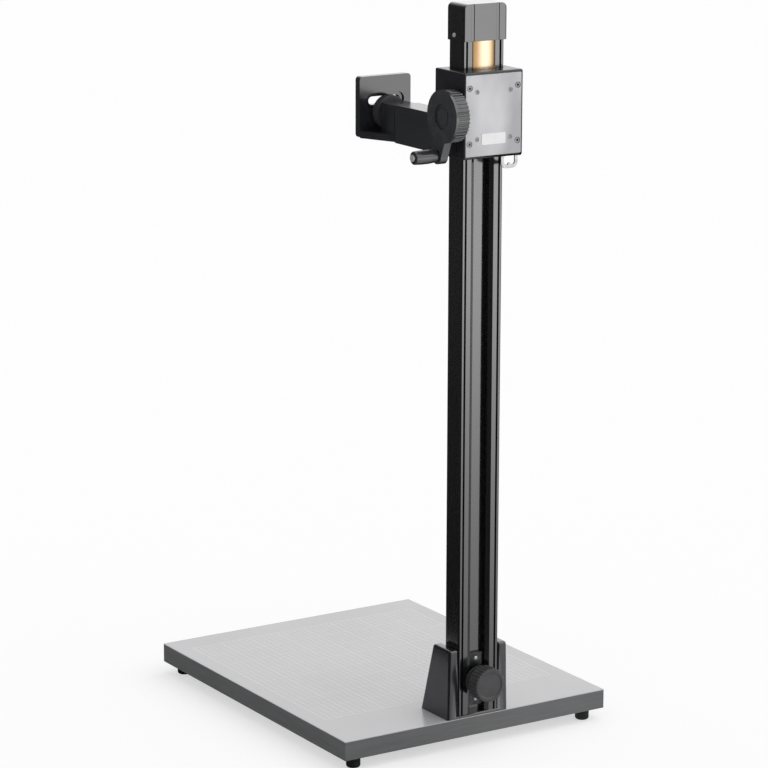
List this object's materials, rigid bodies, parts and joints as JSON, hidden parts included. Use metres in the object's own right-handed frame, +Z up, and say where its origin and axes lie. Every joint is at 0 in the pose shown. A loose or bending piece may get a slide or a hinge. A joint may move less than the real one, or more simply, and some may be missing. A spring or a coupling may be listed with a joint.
{
  "type": "copy stand",
  "caption": "Copy stand: gridded baseboard, grooved column and a crank-driven, spring-balanced carriage whose arm carries a tilting camera plate.",
  "frame": {"origin": "middle of the stand's footprint, on the surface under its rubber feet", "axes": "+Z up along the column, -Y to the front where the arm points and the user stands, +X to the user's right, the crank's side"},
  "size_m": [0.5, 0.6495, 1.1995],
  "materials": {
    "board_core": "pressed fibre board, seen only from below",
    "laminate": "light grey satin laminate with fine white grid lines",
    "edge_band": "dark grey satin band",
    "black_rubber": "matt black rubber",
    "steel": "plain machined steel",
    "bright_steel": "bright plated steel",
    "dark_steel": "blackened steel",
    "black_casting": "cast aluminium under semi-gloss black paint",
    "black_anodised": "extruded aluminium, black anodised, satin",
    "black_moulding": "glossy black moulded plastic",
    "dark_moulding": "dark grey satin moulded plastic",
    "amber_steel": "polished amber-coloured spring steel",
    "silver_plate": "silver anodised aluminium, fine satin",
    "white_label": "plain white film",
    "pale_plastic": "natural bearing plastic",
    "bronze": "plain sintered bronze",
    "friction_rubber": "hard friction rubber",
    "friction_fibre": "brown friction fibre",
    "grey_metal": "grey plated strip",
    "arm_paint": "extruded aluminium under dark blue-black satin paint"
  },
  "bodies": {
    "stand": {"baseboard_core": "board_core", "baseboard_laminate": "laminate", "edge_band": "edge_band", "rubber_feet": "black_rubber", "foot_screws": "steel", "column_foot": "black_casting", "foot_bolts": "dark_steel", "column": "black_anodised", "channel_plate": "dark_steel", "channel_plate_screws": "bright_steel", "column_cap": "black_moulding", "cap_screws": "bright_steel", "tape_anchor": "steel", "anchor_screws": "steel", "tape_rivets": "steel", "spring_tape": "amber_steel"},
    "washer_of_clamping_knob": {"knob_washer": "dark_moulding"},
    "foot_knob": {"clamping_knob": "dark_moulding", "knob_stud": "steel"},
    "carriage": {"carriage_housing": "black_casting", "rear_cover": "silver_plate", "blank_label": "white_label", "cover_screws": "steel", "roller_bolts": "bright_steel", "roller_spacers": "steel", "front_glide_pads": "pale_plastic", "rear_glide_pads": "pale_plastic", "right_bearing_plate": "steel", "left_bearing_plate": "steel", "shaft_bushes": "bronze", "drum_axle": "steel", "cable_loop": "grey_metal", "friction_washer": "friction_fibre", "arm_tube": "arm_paint", "arm_root_block": "silver_plate", "arm_bolts": "dark_steel", "arm_end_block": "silver_plate", "friction_ring": "friction_fibre"},
    "roller_upper_right": {"upper_right_roller": "pale_plastic"},
    "roller_lower_right": {"lower_right_roller": "pale_plastic"},
    "roller_upper_left": {"upper_left_roller": "pale_plastic"},
    "roller_lower_left": {"lower_left_roller": "pale_plastic"},
    "tape_drum": {"spring_drum": "dark_moulding", "spring_coil": "amber_steel"},
    "drive": {"crank_shaft": "steel", "drive_rollers": "friction_rubber", "shaft_collar": "dark_steel", "crank_wheel": "dark_moulding", "hub_cap": "dark_moulding", "grip_spindle": "bright_steel"},
    "crank_handle": {"crank_grip": "dark_moulding"},
    "head": {"camera_bracket": "black_casting", "pivot_spigot": "steel", "camera_pad": "black_rubber"},
    "washer_of_camera_screw": {"screw_washer": "steel"},
    "screw": {"screw_wheel": "dark_moulding", "camera_screw": "steel"}
  },
  "joints": [
    {"name": "carriage_slide", "type": "slide", "parent": "stand", "child": "carriage", "axis": [0, 0, 1], "range_m": [-0.79, 0.04], "deforming": ["spring_tape"]},
    {"name": "crank_turn", "type": "hinge", "parent": "carriage", "child": "drive", "pos_m": [0, 0.28325, 1.031], "axis": [1, 0, 0], "range_deg": [-5879, 298]},
    {"name": "grip_spin", "type": "hinge", "parent": "drive", "child": "crank_handle", "pos_m": [0.105, 0.26885, 0.96864], "axis": [1, 0, 0], "continuous": true},
    {"name": "drum_turn", "type": "hinge", "parent": "carriage", "child": "tape_drum", "pos_m": [0, 0.2878, 1.069], "axis": [1, 0, 0], "range_deg": [-4100, 210]},
    {"name": "turn_of_roller_upper_right", "type": "hinge", "parent": "carriage", "child": "roller_upper_right", "pos_m": [0.0443, 0.25525, 1.074], "axis": [0, 1, 0], "range_deg": [-353, 6964]},
    {"name": "turn_of_roller_lower_right", "type": "hinge", "parent": "carriage", "child": "roller_lower_right", "pos_m": [0.0443, 0.25525, 0.988], "axis": [0, 1, 0], "range_deg": [-353, 6964]},
    {"name": "turn_of_roller_upper_left", "type": "hinge", "parent": "carriage", "child": "roller_upper_left", "pos_m": [-0.0443, 0.25525, 1.074], "axis": [0, 1, 0], "range_deg": [-6964, 353]},
    {"name": "turn_of_roller_lower_left", "type": "hinge", "parent": "carriage", "child": "roller_lower_left", "pos_m": [-0.0443, 0.25525, 0.988], "axis": [0, 1, 0], "range_deg": [-6964, 353]},
    {"name": "head_tilt", "type": "hinge", "parent": "carriage", "child": "head", "pos_m": [0, 0.03425, 0.9858], "axis": [0, 1, 0], "range_deg": [-90, 90]},
    {"name": "camera_screw_travel", "type": "slide", "parent": "head", "child": "washer_of_camera_screw", "axis": [0, -1, 0], "range_m": [0, 0.00381]},
    {"name": "camera_screw_turn", "type": "hinge", "parent": "washer_of_camera_screw", "child": "screw", "pos_m": [0, 0.00325, 0.997], "axis": [0, -1, 0], "range_deg": [-1, 1081]},
    {"name": "clamping_knob_travel", "type": "slide", "parent": "stand", "child": "washer_of_clamping_knob", "axis": [0, 1, 0], "range_m": [0, 0.0045]},
    {"name": "clamping_knob_turn", "type": "hinge", "parent": "washer_of_clamping_knob", "child": "foot_knob", "pos_m": [0, 0.29925, 0.112], "axis": [0, 1, 0], "range_deg": [-1, 1081]}
  ],
  "couplings": [
    {"joint": "crank_turn", "follows": "carriage_slide", "rad_per_m": 129.87},
    {"joint": "drum_turn", "follows": "carriage_slide", "rad_per_m": 90.498},
    {"joint": "turn_of_roller_upper_right", "follows": "carriage_slide", "rad_per_m": -153.85},
    {"joint": "turn_of_roller_lower_right", "follows": "carriage_slide", "rad_per_m": -153.85},
    {"joint": "turn_of_roller_upper_left", "follows": "carriage_slide", "rad_per_m": 153.85},
    {"joint": "turn_of_roller_lower_left", "follows": "carriage_slide", "rad_per_m": 153.85},
    {"joint": "camera_screw_turn", "follows": "camera_screw_travel", "rad_per_m": 4947.4},
    {"joint": "clamping_knob_turn", "follows": "clamping_knob_travel", "rad_per_m": 4188.8}
  ]
}
